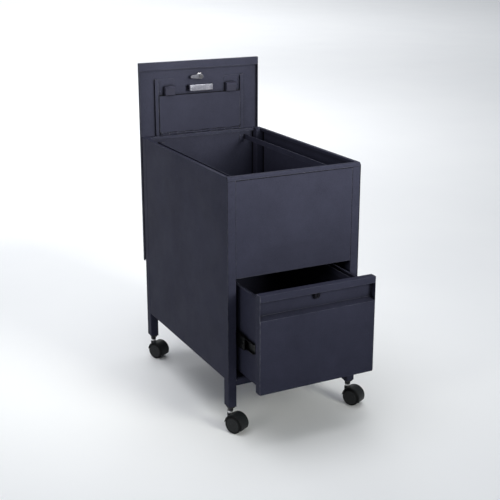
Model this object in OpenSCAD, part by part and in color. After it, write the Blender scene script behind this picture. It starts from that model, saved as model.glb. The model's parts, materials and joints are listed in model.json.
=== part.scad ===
// Mobile locking tub file: a sheet-steel cart on four twin-wheel casters.
// The open tub on top hangs letter-size folders. Its lid turns down over the
// tub, or slides down behind the back. A lockable file drawer runs below.
// +X is to the right seen from the front, the drawer opens towards -Y, +Z is up.

/* [Cabinet] */
// Width over the side panels
cab_w = 432; // [420:1:460]
// Depth from the post fronts to the back panel
cab_d = 640; // [620:1:700]
// Height of the tub rim above the floor
cab_h = 766; // [750:1:800]
// Height of the leg ends above the floor
leg_z = 76; // [74:1:80]
// Width of a corner post across the front
post_w = 27; // [24:1:30]
// Depth of a corner post from front to back
post_d = 32; // [28:1:36]
// Sheet thickness
t = 1.2; // [1.0:0.1:1.4]
// Width of the rim flange around the tub
rim = 11; // [9:1:13]
// Height of the tub floor
tub_z = 480; // [476:1:484]

/* [Drawer] */
// Height of the top of the drawer opening
open_top = 470; // [468:1:472]
// Height of the bottom of the drawer head
head_bot = 171; // [169:1:174]
// Height of the top of the drawer head
head_top = 464.5; // [463:0.5:466]
// Thickness of the drawer head
head_t = 24; // [23:1:26]
// How far the drawer stands open
drawer_out = 140; // [0:5:200]
// Depth of the drawer box behind its head
box_l = 520; // [480:5:530]
// Height of the top of the drawer sides
box_top = 443; // [440:1:446]
// Height of the opening of the full-width finger pull
pull_h = 54; // [48:1:58]

/* [Lid] */
// Length of the lid
lid_l = 665; // [660:1:680]
// How far the raised lid stands above the rim
lid_up = 238; // [230:1:245]
// Depth of the lid pan
lid_deep = 12.9; // [12:0.1:14]
// Height of the carrier plate
car_h = 129; // [120:1:135]
// Half width of the carrier plate
car_w = 148; // [140:1:152]

/* [Casters] */
// Wheel radius
wheel_r = 27; // [24:0.5:27]
// Wheel width
wheel_w = 17; // [15:0.5:18]
// Distance from the swivel axis to the axle
trail = 21; // [18:0.5:22]
// Direction in which the wheels trail, from +X towards +Y
trail_deg = -60; // [-180:1:180]

/* [Hidden] */

// the frame's origin is on the floor under the middle of the whole object
ox = -11;
oy = -263;

hw = cab_w / 2;                 // half the cabinet's width
pin_ = hw - post_w;             // inner face of a post
top_z = cab_h - rim;            // underside of the front lip
side_z = 162;                   // bottom of a side panel
rail_z = 144;                   // bottom of the bottom rails
lip_d = 14;                     // depth of the front lip
rail_x = 157;                   // hanging rails, letter size
seam = 0.8;                     // open seam in front of a rear post

hinge_y = cab_d + 9;            // carrier hinge axis
hinge_z = cab_h + 0.5;
lid_y = hinge_y + 0.3;          // free edges of the lid's flanges
skin_y = lid_y + lid_deep - t;  // inner face of the lid's skin
lid_top = cab_h + lid_up;
lid_bot = lid_top - lid_l;
lid_hw = hw - 1;
lock_lz = lid_top - 53;         // lid lock axis
car_y = hinge_y + 2;            // front face of the carrier plate
car_bot = hinge_z + 3.5;
car_top = cab_h + car_h;

head_hw = pin_ - 2.2;           // half the drawer head's width
head_y = -drawer_out;           // front plane of the drawer head
band_z = head_top - 20;         // bottom of the top band
lip_z = band_z - pull_h;        // front edge of the recess's ledge
rec_d = 22;                     // depth of the finger pull
box_hw = pin_ - 14.6;           // half width over the drawer sides
box_y = head_y + head_t;
box_bot = 182;
lock_dz = band_z - 11;          // drawer lock axis
slide_z = 290;                  // centre height of the slides
slide_l = 510;

cas_x = hw - post_w / 2 - 0.6;
cas_y = post_d / 2;

paint = [0.20, 0.21, 0.25];
dark = [0.10, 0.10, 0.11];
steel = [0.72, 0.73, 0.74];

module at() translate([ox, oy, 0]) children();
module both() { children(); mirror([1, 0, 0]) children(); }
// a box from its two corners
module bx(a, b) translate(a) cube([b[0] - a[0], b[1] - a[1], b[2] - a[2]]);
// a profile drawn in (y, z), extruded along x from x0 to x1
module along_x(x0, x1) translate([x0, 0, 0]) rotate([90, 0, 90]) linear_extrude(x1 - x0) children();
// a profile drawn in (x, z), extruded along y from y0 to y1
module along_y(y0, y1) translate([0, y1, 0]) rotate([90, 0, 0]) linear_extrude(y1 - y0) children();

// ---------- cabinet ----------

// side panel: flat sheet with a folded rim at the top and a return at the bottom
module side_panel_left() {
  yb = cab_d - post_d - seam;
  along_x(-hw, -hw + t)
    polygon([[0, side_z], [yb, side_z], [yb, cab_h], [7, cab_h], [0, cab_h - 7]]);
  // rim flange and its down-turned return
  bx([-hw + t, lip_d + 0.4, cab_h - t], [-hw + rim, yb, cab_h]);
  bx([-hw + rim - t, lip_d + 0.4, cab_h - 9], [-hw + rim, yb, cab_h - t]);
  // bottom return flange
  bx([-hw + t, post_d + 1, side_z], [-hw + 14, yb, side_z + t]);
}
module left_side_panel() { color(paint) at() side_panel_left(); }
module right_side_panel() { color(paint) at() mirror([1, 0, 0]) side_panel_left(); }

// corner post: a box-section tube with a slot-free closed wall, chamfered at its foot
module post_tube(x0, x1, y0, y1, z0, z1) {
  difference() {
    bx([x0, y0, z0], [x1, y1, z1]);
    bx([x0 + t, y0 + t, z0 - 1], [x1 - t, y1 - t, z1 - t]);
    // chamfers at the foot
    along_y(y0 - 1, y1 + 1) polygon([[x0 - 1, z0 - 1], [x0 + 3, z0 - 1], [x0 - 1, z0 + 6]]);
    along_x(x0 - 1, x1 + 1) polygon([[y0 - 1, z0 - 1], [y0 + 3, z0 - 1], [y0 - 1, z0 + 6]]);
  }
}
module front_post() post_tube(-hw + t, -pin_, 0, post_d, leg_z, top_z - 0.2);
module left_front_post() { color(paint) at() front_post(); }
module right_front_post() { color(paint) at() mirror([1, 0, 0]) front_post(); }
module rear_post() post_tube(-hw, -pin_, cab_d - post_d, cab_d, leg_z, cab_h);
module left_rear_post() { color(paint) at() rear_post(); }
module right_rear_post() { color(paint) at() mirror([1, 0, 0]) rear_post(); }

// upper front panel, set back one sheet behind the posts, with a rolled lip on top
module front_panel() {
  color(paint) at() {
    x1 = pin_ - 0.4;
    bx([-x1, 1.4, open_top], [x1, 1.4 + t, top_z]);
    bx([-x1, 1.4 + t, open_top], [x1, 22, open_top + t]);
    bx([-x1, 22 - t, open_top + t], [x1, 22, open_top + 8]);
    // rolled lip over the panel and the posts
    along_x(-hw + t + 0.6, hw - t - 0.6) difference() {
      union() {
        translate([0, top_z]) square([lip_d, rim - 4]);
        translate([4, cab_h - 4]) square([lip_d - 4, 4]);
        translate([4, cab_h - 4]) circle(r = 4, $fn = 48);
      }
      translate([t, top_z - 1]) square([lip_d, rim - 3]);
      translate([4, cab_h - 4 - 1]) square([lip_d, 5 - t]);
      translate([4, cab_h - 4]) circle(r = 4 - t, $fn = 48);
    }
    bx([-hw + t + 0.6, 0, top_z], [hw - t - 0.6, 6, top_z + t]);
  }
}

// back panel with a top flange
module back_panel() {
  color(paint) at() {
    x1 = pin_ - 0.4;
    bx([-x1, cab_d - t, side_z], [x1, cab_d, cab_h]);
    bx([-x1, cab_d - 13, cab_h - t], [x1, cab_d - t, cab_h]);
    bx([-x1, cab_d - 13, cab_h - 9], [x1, cab_d - 13 + t, cab_h - t]);
  }
}

// pan shape that fits between the side panels and around the four posts
module pan(z, th) {
  xa = hw - t - 0.4; xb = pin_ - 0.6;
  translate([0, 0, z]) linear_extrude(th) {
    translate([-xa, post_d + 0.4]) square([2 * xa, cab_d - 2 * post_d - 0.8]);
    translate([-xb, 1.4 + t + 0.4]) square([2 * xb, cab_d - 4.6]);
  }
}
module tub_floor() {
  color(paint) at() {
    pan(tub_z, t);
    // hemmed edges turned up at front and back
    bx([-pin_ + 1.2, 3.2, tub_z + t], [pin_ - 1.2, 3.2 + t, tub_z + 12]);
    bx([-pin_ + 1.2, cab_d - 2.8 - t, tub_z + t], [pin_ - 1.2, cab_d - 2.8, tub_z + 12]);
    // stiffening hat section under the floor
    bx([-hw + 30, 300, tub_z - 6], [hw - 30, 300 + t, tub_z]);
    bx([-hw + 30, 330, tub_z - 6], [hw - 30, 330 + t, tub_z]);
    bx([-hw + 30, 300, tub_z - 6 - t], [hw - 30, 330 + t, tub_z - 6]);
  }
}
module base_pan() { color(paint) at() pan(165.2, t); }

module bottom_rail_profile() {
  // open channel, web to the front
  difference() {
    square([25, 20.8]);
    translate([t, t]) square([25, 20.8 - 2 * t]);
  }
}
module front_bottom_rail() {
  color(paint) at() along_x(-pin_ + 0.3, pin_ - 0.3) translate([0.6, rail_z]) bottom_rail_profile();
}
module rear_bottom_rail() {
  color(paint) at() translate([0, cab_d - t - 0.4, 0]) mirror([0, 1, 0])
    along_x(-pin_ + 0.3, pin_ - 0.3) translate([0, rail_z - 4]) bottom_rail_profile();
}

// strips on which folders hang in the tub, each with a welded tab at both ends
module tub_hanging_rails() {
  color(paint) at() both() {
    bx([-rail_x - 2, 3, 728], [-rail_x, cab_d - t - 0.4, 745]);
    bx([-rail_x + 0.1, 3, 722], [-rail_x + 18, 4.6, 743]);
    bx([-rail_x + 0.1, cab_d - t - 2, 722], [-rail_x + 18, cab_d - t - 0.4, 743]);
  }
}

// outer member of a telescopic slide
module slide_channel() {
  x0 = -pin_ + 0.1;
  y0 = 26;
  y1 = 528;
  bx([x0, y0, slide_z - 22.5], [x0 + t, y1, slide_z + 22.5]);
  for (s = [-1, 1]) {
    z = slide_z + s * (22.5 - t / 2);
    bx([x0 + t, y0, z - t / 2], [x0 + 11.6, y1, z + t / 2]);
  }
  // rear fixing tab, out to the side panel
  bx([-hw + t + 0.2, 520, slide_z - 12], [x0, 523, slide_z + 12]);
}
module left_slide_channel() { color(steel) at() slide_channel(); }
module right_slide_channel() { color(steel) at() mirror([1, 0, 0]) slide_channel(); }

// middle member with its two ball retainers
module slide_middle() {
  x0 = -pin_ + 3.1;
  y0 = 26 - drawer_out / 2;
  y1 = y0 + slide_l - 10;
  bx([x0, y0, slide_z - 18.5], [x0 + t, y1, slide_z + 18.5]);
  for (s = [-1, 1]) {
    z = slide_z + s * (18.5 - t / 2);
    bx([x0 + t, y0, z - t / 2], [x0 + 8.6, y1, z + t / 2]);
    // retainers, held on the flange by small tabs
    zr = slide_z + s * 19.4;
    bx([x0 + 1.5, y0 + 40, min(zr, slide_z + s * 18.4)], [x0 + 7.5, y0 + 300, max(zr, slide_z + s * 18.4)]);
  }
}
module left_slide_middle() { color(steel) at() slide_middle(); }
module right_slide_middle() { color(steel) at() mirror([1, 0, 0]) slide_middle(); }

// plastic inserts in the leg ends that take the caster stems
module leg_sockets() {
  color(dark) at() for (p = [[-1, cas_y], [1, cas_y], [-1, cab_d - cas_y], [1, cab_d - cas_y]]) {
    translate([p[0] * cas_x, p[1], 0]) difference() {
      union() {
        translate([0, 0, leg_z - 13.4]) cylinder(r = 8.4, h = 14, $fn = 48);
        // collar that fills the chamfered foot of the leg
        hull() {
          translate([-8, -8, leg_z - 6]) cube([16, 16, 0.5]);
          translate([-9.6, -12.6, leg_z - 0.6]) cube([19.2, 25.2, 0.6]);
        }
        translate([-11, -13, leg_z + 0.2]) cube([22, 26, 34]);
      }
      translate([0, 0, leg_z - 20]) cylinder(r = 5.6, h = 80, $fn = 48);
    }
  }
}

// ---------- lid hinge and carrier ----------
kn = 10; kl = 28; kp = 28.8;   // knuckles: count, length, pitch
module knuckles(first) {
  for (i = [first:2:kn - 1]) {
    x = (i - (kn - 1) / 2) * kp;
    translate([x - kl / 2, hinge_y, hinge_z]) rotate([0, 90, 0]) difference() {
      cylinder(r = 3.1, h = kl, $fn = 48);
      translate([0, 0, -1]) cylinder(r = 1.56, h = kl + 2, $fn = 48);
    }
  }
}
module lid_hinge_leaf() {
  color(steel) at() {
    knuckles(0);
    for (i = [0:2:kn - 1]) {
      x = (i - (kn - 1) / 2) * kp;
      bx([x - kl / 2, cab_d + 0.1, hinge_z - 3.1], [x + kl / 2, hinge_y - 0.4, hinge_z - 3.1 + t]);
    }
    bx([-kn * kp / 2, cab_d, hinge_z - 34], [kn * kp / 2, cab_d + t, hinge_z - 3.1 + t]);
  }
}
module lid_hinge_pin() {
  color(steel) at() translate([-kn * kp / 2 - 2, hinge_y, hinge_z]) rotate([0, 90, 0])
    cylinder(r = 1.5, h = kn * kp + 4, $fn = 48);
}
// carrier: plate on the hinge; its side tongues run in the lid's guides
module lid_carrier() {
  color(paint) at() {
    knuckles(1);
    for (i = [1:2:kn - 1]) {
      x = (i - (kn - 1) / 2) * kp;
      bx([x - kl / 2, car_y, hinge_z], [x + kl / 2, car_y + t, car_bot + 1]);
    }
    bx([-car_w, car_y, car_bot], [car_w, car_y + t, car_top]);
    // top return flange, on which the stop blocks stand
    bx([-car_w, car_y + t, car_top - t], [car_w, car_y + 6.4, car_top]);
    both() {
      bx([-car_w, car_y + t, car_bot], [-car_w + t, car_y + 6.4, car_top - t]);
      bx([-car_w - 8, car_y + 5.2, car_bot], [-car_w, car_y + 6.4, car_top]);
    }
  }
}

// ---------- lid ----------
module lid_pan() {
  color(paint) at() {
    difference() {
      bx([-lid_hw, skin_y, lid_bot], [lid_hw, skin_y + t, lid_top]);
      translate([0, skin_y - 5, lock_lz]) rotate([-90, 0, 0]) cylinder(r = 8.2, h = 20, $fn = 48);
    }
    both() bx([-lid_hw, lid_y, lid_bot], [-lid_hw + t, skin_y, lid_top - t]);
    bx([-lid_hw, lid_y, lid_top - t], [lid_hw, skin_y, lid_top]);
    // hem along the front edge
    bx([-lid_hw + t, lid_y, lid_top - 25], [lid_hw - t, lid_y + t, lid_top - t]);
    // folded hem along the rear edge
    bx([-lid_hw + t, skin_y - t, lid_bot], [lid_hw - t, skin_y, lid_bot + 12]);
  }
}
gd_in = car_w + 1;              // inner edge of a guide's lip
gd_out = car_w + 12;            // back of a guide
gd_y = car_y + 2.2;             // front face of a guide's lip
module lid_guides() {
  color(paint) at() both() {
    z1 = cab_h + 182;
    z0 = lid_bot + 12.4;
    bx([-gd_out, gd_y, z0], [-gd_in, gd_y + t, z1]);
    bx([-gd_out, gd_y + t, z0], [-gd_out + t, skin_y, z1]);
    // end stop at the foot of the guide
    bx([-gd_out + t, gd_y + t, z0], [-gd_in, skin_y, z0 + t]);
  }
}
module lid_backing_plates() {
  color(paint) at() both() difference() {
    bx([-gd_out + t + 0.3, skin_y - t, car_top + 1.5], [-90, skin_y, cab_h + 182]);
    for (z = [car_top + 42, car_top + 12]) translate([-142, skin_y + 1, z]) rotate([90, 0, 0]) cylinder(r = 1.6, h = 4, $fn = 24);
  }
}
// rubber blocks that stop the lid on the carrier's top edge
module lid_stop_blocks() {
  color(dark) at() both() difference() {
    bx([-128, skin_y - t - 17, car_top + 0.4], [-94, skin_y - t, car_top + 29]);
    along_x(-130, -90) polygon([[skin_y - t - 18, car_top + 24], [skin_y - t - 12, car_top + 30], [skin_y - t - 18, car_top + 30]]);
  }
}
// plated catch channel riveted below the lock
module lid_catch_bracket() {
  color(steel) at() difference() {
    bx([-42, skin_y - 19, car_top + 10], [42, skin_y, car_top + 30]);
    bx([-42 + 1.5, skin_y - 19 + 1.5, car_top + 9], [42 - 1.5, skin_y + 1, car_top + 30 - 1.5]);
    translate([35, skin_y - 20, car_top + 20]) rotate([-90, 0, 0]) cylinder(r = 1.7, h = 4, $fn = 24);
  }
}
// lock cylinder through the skin, with its nut on the inside
module lid_lock_housing() {
  color(steel) at() translate([0, skin_y, lock_lz]) rotate([90, 0, 0]) {
    difference() {
      union() {
        translate([0, 0, -t - 2]) cylinder(r = 11, h = 2, $fn = 64);
        translate([0, 0, -t - 0.5]) cylinder(r = 8, h = 14.8 + t, $fn = 64);
      }
      translate([0, 0, -t - 4]) cylinder(r = 6.6, h = 20 + t, $fn = 64);
    }
    difference() {
      translate([0, 0, 0.1]) cylinder(r = 11.5, h = 4, $fn = 6);
      translate([0, 0, -1]) cylinder(r = 8.02, h = 8, $fn = 64);
    }
  }
}
module lid_lock_plug() {
  color(steel) at() translate([0, skin_y, lock_lz]) rotate([90, 0, 0]) {
    difference() {
      translate([0, 0, -t - 1.6]) cylinder(r = 6.52, h = 16.4 + t, $fn = 64);
      // keyway
      translate([-0.7, -4, -t - 2]) cube([1.4, 8, 8]);
    }
    translate([-3, -3, 14.8]) cube([6, 6, 4.6]);
  }
}
module cam_arm(len, w, th, hole) {
  linear_extrude(th) difference() {
    union() {
      circle(r = w / 2 + 1, $fn = 48);
      translate([-len + w / 2, -w / 2]) square([len - w / 2, w]);
      translate([-len + w / 2, 0]) circle(r = w / 2, $fn = 48);
    }
    translate([-hole, -hole]) square([2 * hole, 2 * hole]);
  }
}
module lid_lock_cam() {
  color(steel) at() translate([0, skin_y, lock_lz]) rotate([90, 0, 0]) {
    translate([0, 0, 15]) cam_arm(40, 14, 2, 3.1);
    // nut that holds the cam
    difference() {
      translate([0, 0, 17.2]) cylinder(r = 6, h = 3, $fn = 6);
      translate([-3.1, -3.1, 16]) cube([6.2, 6.2, 6]);
    }
  }
}
module lid_rivets() {
  color(steel) at() {
    both() for (z = [car_top + 42, car_top + 12]) translate([-142, skin_y - t, z]) rotate([90, 0, 0]) {
      cylinder(r = 3, h = 1, $fn = 32);
      translate([0, 0, -t]) cylinder(r = 1.6, h = t, $fn = 24);
    }
    translate([35, skin_y - 19, car_top + 20]) rotate([90, 0, 0]) {
      cylinder(r = 3, h = 1, $fn = 32);
      translate([0, 0, -1.5]) cylinder(r = 1.7, h = 1.5, $fn = 24);
    }
  }
}

// ---------- drawer ----------
// lower face of the head: a shallow pan with a sloping ledge on top
module drawer_face() {
  color(paint) at() {
    y0 = head_y; y1 = head_y + head_t - 0.3;
    along_x(-head_hw, head_hw) difference() {
      polygon([[y0, head_bot], [y1, head_bot], [y1, lip_z + 9 - 0.2], [y0 + rec_d, lip_z + 9 - 0.2], [y0, lip_z]]);
      polygon([[y0 + t, head_bot + t], [y1 + 1, head_bot + t], [y1 + 1, lip_z + 9 - t - 0.2], [y0 + rec_d, lip_z + 9 - t - 0.2], [y0 + t, lip_z - t]]);
    }
    both() along_x(-head_hw, -head_hw + t)
      polygon([[y0 + 0.5, head_bot + 0.5], [y1, head_bot + 0.5], [y1, lip_z + 8], [y0 + rec_d, lip_z + 8], [y0 + 0.5, lip_z - 0.5]]);
  }
}
// upper part of the head: the top band and the full-width finger pull under it
module drawer_pull() {
  color(paint) at() difference() {
    union() {
      y0 = head_y; y1 = head_y + head_t - 0.3;
      along_x(-head_hw, head_hw) {
        translate([y0, band_z]) square([t, head_top - band_z]);
        translate([y0, head_top - t]) square([y1 - y0, t]);
        translate([y0, band_z]) square([rec_d, t]);
        translate([y0 + rec_d - t, lip_z + 9]) square([t, band_z - lip_z - 9 + t]);
      }
      // closed ends
      both() along_x(-head_hw, -head_hw + t)
        polygon([[y0, lip_z + 0.4], [y0, head_top], [y1, head_top], [y1, lip_z + 9.2], [y0 + rec_d, lip_z + 9.2]]);
    }
    translate([0, head_y, lock_dz]) rotate([-90, 0, 0]) cylinder(r = 9.7, h = 40, $fn = 64);
  }
}
module drawer_box_front() {
  color(paint) at() difference() {
    bx([-box_hw + t + 0.1, box_y, box_bot + 3], [box_hw - t - 0.1, box_y + t, box_top]);
    translate([0, head_y, lock_dz]) rotate([-90, 0, 0]) cylinder(r = 9.7, h = 60, $fn = 64);
  }
}
module drawer_side() {
  bx([-box_hw, box_y, box_bot], [-box_hw + t, box_y + box_l, box_top]);
  // rolled top edge and bottom return
  bx([-box_hw + t, box_y + t + 0.2, box_top - t], [-box_hw + 7, box_y + box_l - t - 0.2, box_top]);
  bx([-box_hw + t, box_y + t + 0.2, box_bot], [-box_hw + 9, box_y + box_l - t - 0.2, box_bot + t]);
}
module drawer_left_side() { color(paint) at() drawer_side(); }
module drawer_right_side() { color(paint) at() mirror([1, 0, 0]) drawer_side(); }
module drawer_bottom() {
  color(paint) at()
    bx([-box_hw + t + 0.1, box_y + t + 0.1, box_bot + t + 0.1], [box_hw - t - 0.1, box_y + box_l - t - 0.1, box_bot + 2 * t + 0.1]);
}
module drawer_back() {
  color(paint) at() {
    bx([-box_hw + t + 0.1, box_y + box_l - t, box_bot + 3], [box_hw - t - 0.1, box_y + box_l, box_top - 2]);
    bx([-box_hw + t + 0.1, box_y + box_l, box_top - 2 - t], [box_hw - t - 0.1, box_y + box_l + 8, box_top - 2]);
  }
}
module drawer_slide_rails() {
  color(steel) at() both() {
    x0 = -box_hw;
    y0 = box_y + 26;
    bx([x0 - t, y0, slide_z - 15], [x0, y0 + slide_l - 30, slide_z + 15]);
    for (s = [-1, 1]) {
      z = slide_z + s * (15 - t / 2);
      bx([x0 - 8.2, y0, z - t / 2], [x0 - t, y0 + slide_l - 30, z + t / 2]);
    }
  }
}
module drawer_hanging_rails() {
  color(paint) at() both() {
    bx([-rail_x - 2, box_y + t + 0.3, 421], [-rail_x, box_y + box_l - t - 0.3, 438]);
    bx([-rail_x + 0.1, box_y + t + 0.3, 415], [-rail_x + 18, box_y + t + 1.9, 436]);
    bx([-rail_x + 0.1, box_y + box_l - t - 1.9, 415], [-rail_x + 18, box_y + box_l - t - 0.3, 436]);
  }
}
module drawer_lock_housing() {
  color(steel) at() translate([0, head_y, lock_dz]) rotate([-90, 0, 0]) {
    difference() {
      union() {
        translate([0, 0, 11]) cylinder(r = 9.5, h = 20, $fn = 64);
        translate([0, 0, rec_d - t - 2.2]) cylinder(r = 10.6, h = 2.1, $fn = 64);
      }
      translate([0, 0, 10]) cylinder(r = 7.1, h = 30, $fn = 64);
    }
    difference() {
      translate([0, 0, head_t + t + 0.1]) cylinder(r = 13, h = 3.5, $fn = 6);
      translate([0, 0, head_t]) cylinder(r = 9.52, h = 10, $fn = 64);
    }
  }
}
module drawer_lock_plug() {
  color(steel) at() translate([0, head_y, lock_dz]) rotate([-90, 0, 0]) {
    difference() {
      translate([0, 0, 11.3]) cylinder(r = 7.02, h = 20.2, $fn = 64);
      translate([-0.7, -4.2, 11]) cube([1.4, 8.4, 8]);
    }
    translate([-3, -3, 31.5]) cube([6, 6, 8]);
  }
}
module drawer_lock_cam() {
  color(steel) at() translate([0, head_y, lock_dz]) {
    translate([0, 36, 0]) rotate([90, 0, 0]) cam_arm(42, 14, 2, 3.1);
    difference() {
      translate([0, 39.2, 0]) rotate([90, 0, 0]) cylinder(r = 6, h = 3, $fn = 6);
      translate([-3.1, 35, -3.1]) cube([6.2, 6, 6.2]);
    }
  }
}
// angle under the tub floor that the turned cam stands behind
module drawer_strike() {
  color(steel) at() {
    bx([-30, 24, tub_z - 10], [30, 25.5, tub_z - 0.2]);
    bx([-30, 25.5, tub_z - 1.7], [30, 46, tub_z - 0.2]);
  }
}

// rivets that hold the hinge leaf
module hinge_rivets() {
  color(steel) at() {
    for (x = [-120, -40, 40, 120]) translate([x, cab_d + t, hinge_z - 22]) rotate([-90, 0, 0]) cylinder(r = 3.2, h = 1.1, $fn = 32);
  }
}

// ---------- casters ----------
// placed at a leg: swivel axis on z, wheels trailing along local +x
module at_caster(sx, rear) at() translate([sx * cas_x, rear ? cab_d - cas_y : cas_y, 0]) rotate([0, 0, trail_deg]) children();
web = 4.2;                     // half thickness of the hood's web
gap = 0.8;                     // web to wheel
module hood() {
  difference() {
    union() {
      // web between the wheels
      translate([0, web, 0]) rotate([90, 0, 0]) linear_extrude(2 * web) difference() {
        union() {
          translate([trail, wheel_r]) circle(r = wheel_r - 1.5, $fn = 72);
          translate([-8, wheel_r + 4]) square([trail + 8, 50.8 - wheel_r]);
        }
        translate([-20, -1]) square([80, 12]);
      }
      // fender over both wheels
      difference() {
        translate([trail, 21, wheel_r]) rotate([90, 0, 0]) cylinder(r = wheel_r + 4, h = 42, $fn = 72);
        translate([trail, 25, wheel_r]) rotate([90, 0, 0]) cylinder(r = wheel_r + 1.2, h = 50, $fn = 72);
        // open below: high under the stem, low at the trailing side
        translate([-40, -30, -20]) cube([40 + trail, 60, wheel_r + 22]);
        translate([trail - 1, -30, -20]) cube([80, 60, 34]);
      }
      // stem boss
      translate([0, 0, 34]) cylinder(r = 9.5, h = 21, $fn = 48);
    }
    // stepped stem bore and axle bore
    translate([0, 0, 48]) cylinder(r = 5.56, h = 40, $fn = 48);
    translate([0, 0, 30]) cylinder(r = 3.56, h = 40, $fn = 48);
    translate([trail, 30, wheel_r]) rotate([90, 0, 0]) cylinder(r = 3.05, h = 60, $fn = 48);
    // the wheels' room, so the boss stays off them
    for (s = [-1, 1]) translate([trail, s * (web + gap / 2 + 15), wheel_r]) rotate([90, 0, 0]) cylinder(r = wheel_r + 1.2, h = 30, center = true, $fn = 72);
  }
}
module stem() {
  translate([0, 0, 48.1]) cylinder(r = 5.5, h = leg_z + 30 - 48.1, $fn = 48);
  translate([0, 0, 34.5]) cylinder(r = 3.5, h = 14, $fn = 48);
  translate([0, 0, 55.2]) cylinder(r = 7.2, h = 7.2, $fn = 48);
  translate([trail, wheel_w + web - 0.9, wheel_r]) rotate([90, 0, 0]) cylinder(r = 3.0, h = 2 * (wheel_w + web - 0.9), $fn = 48);
}
module wheel(s) {
  translate([trail, s * (web + gap), wheel_r]) rotate([s * -90, 0, 0]) difference() {
    rotate_extrude($fn = 96) difference() {
      polygon([
        [3.06, 0], [wheel_r - 2.2, 0], [wheel_r, 2.2], [wheel_r, wheel_w - 5],
        [wheel_r - 0.9, wheel_w - 2.4], [wheel_r - 3.2, wheel_w - 0.7], [wheel_r - 5, wheel_w],
        [wheel_r - 6, wheel_w - 1.2], [8, wheel_w - 1.8], [7, wheel_w - 0.2], [5, wheel_w], [0.01, wheel_w],
        [0.01, wheel_w - 1.4], [3.06, wheel_w - 1.4]
      ]);
    }
  }
}

module caster_hood_front_left() { color(dark) at_caster(-1, false) hood(); }
module caster_stem_front_left() { color(steel) at_caster(-1, false) stem(); }
module caster_wheel_front_left_a() { color(dark) at_caster(-1, false) wheel(-1); }
module caster_wheel_front_left_b() { color(dark) at_caster(-1, false) wheel(1); }
module caster_hood_front_right() { color(dark) at_caster(1, false) hood(); }
module caster_stem_front_right() { color(steel) at_caster(1, false) stem(); }
module caster_wheel_front_right_a() { color(dark) at_caster(1, false) wheel(-1); }
module caster_wheel_front_right_b() { color(dark) at_caster(1, false) wheel(1); }
module caster_hood_rear_left() { color(dark) at_caster(-1, true) hood(); }
module caster_stem_rear_left() { color(steel) at_caster(-1, true) stem(); }
module caster_wheel_rear_left_a() { color(dark) at_caster(-1, true) wheel(-1); }
module caster_wheel_rear_left_b() { color(dark) at_caster(-1, true) wheel(1); }
module caster_hood_rear_right() { color(dark) at_caster(1, true) hood(); }
module caster_stem_rear_right() { color(steel) at_caster(1, true) stem(); }
module caster_wheel_rear_right_a() { color(dark) at_caster(1, true) wheel(-1); }
module caster_wheel_rear_right_b() { color(dark) at_caster(1, true) wheel(1); }

left_side_panel();
right_side_panel();
front_panel();
back_panel();
tub_floor();
base_pan();
front_bottom_rail();
rear_bottom_rail();
left_front_post();
right_front_post();
left_rear_post();
right_rear_post();
tub_hanging_rails();
left_slide_channel();
right_slide_channel();
leg_sockets();
lid_hinge_leaf();
lid_hinge_pin();
drawer_strike();
hinge_rivets();
lid_carrier();
lid_pan();
lid_guides();
lid_stop_blocks();
lid_backing_plates();
lid_catch_bracket();
lid_lock_housing();
lid_rivets();
lid_lock_plug();
lid_lock_cam();
drawer_face();
drawer_pull();
drawer_box_front();
drawer_left_side();
drawer_right_side();
drawer_bottom();
drawer_back();
drawer_slide_rails();
drawer_hanging_rails();
drawer_lock_housing();
drawer_lock_plug();
drawer_lock_cam();
left_slide_middle();
right_slide_middle();
caster_hood_front_left();
caster_stem_front_left();
caster_wheel_front_left_a();
caster_wheel_front_left_b();
caster_hood_front_right();
caster_stem_front_right();
caster_wheel_front_right_a();
caster_wheel_front_right_b();
caster_hood_rear_left();
caster_stem_rear_left();
caster_wheel_rear_left_a();
caster_wheel_rear_left_b();
caster_hood_rear_right();
caster_stem_rear_right();
caster_wheel_rear_right_a();
caster_wheel_rear_right_b();
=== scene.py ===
import json
import math
import bmesh
import bpy
from mathutils import Vector, Matrix


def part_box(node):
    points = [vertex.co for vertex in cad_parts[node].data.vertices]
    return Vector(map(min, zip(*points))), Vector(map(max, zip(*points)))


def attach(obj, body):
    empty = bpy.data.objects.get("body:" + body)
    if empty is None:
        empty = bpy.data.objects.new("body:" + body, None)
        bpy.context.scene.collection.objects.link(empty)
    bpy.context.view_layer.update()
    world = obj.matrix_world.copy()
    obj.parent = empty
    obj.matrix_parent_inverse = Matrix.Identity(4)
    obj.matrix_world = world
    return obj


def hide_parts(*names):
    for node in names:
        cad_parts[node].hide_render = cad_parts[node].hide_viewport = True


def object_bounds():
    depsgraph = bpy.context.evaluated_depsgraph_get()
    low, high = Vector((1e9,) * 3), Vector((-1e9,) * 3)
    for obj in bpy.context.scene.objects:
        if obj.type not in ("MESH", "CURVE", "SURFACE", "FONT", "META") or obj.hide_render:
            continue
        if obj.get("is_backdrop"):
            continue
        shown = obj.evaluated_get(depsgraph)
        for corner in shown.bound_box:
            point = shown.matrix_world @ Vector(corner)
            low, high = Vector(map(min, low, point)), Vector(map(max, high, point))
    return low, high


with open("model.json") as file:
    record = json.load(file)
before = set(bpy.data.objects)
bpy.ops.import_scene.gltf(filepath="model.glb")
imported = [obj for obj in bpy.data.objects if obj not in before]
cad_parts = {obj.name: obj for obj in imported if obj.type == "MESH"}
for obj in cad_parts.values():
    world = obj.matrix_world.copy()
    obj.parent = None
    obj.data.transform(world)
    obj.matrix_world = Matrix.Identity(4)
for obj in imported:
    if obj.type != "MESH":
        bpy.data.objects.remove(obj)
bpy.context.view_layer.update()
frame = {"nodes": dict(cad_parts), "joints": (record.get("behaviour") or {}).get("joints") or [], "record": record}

NODES = frame["nodes"]
scene = bpy.context.scene

# cabinet coordinates (millimetres, x from the middle, y from the post fronts) to the frame
_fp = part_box("front_panel")
OX = (_fp[0].x + _fp[1].x) / 2
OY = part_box("left_front_post")[0].y


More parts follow.
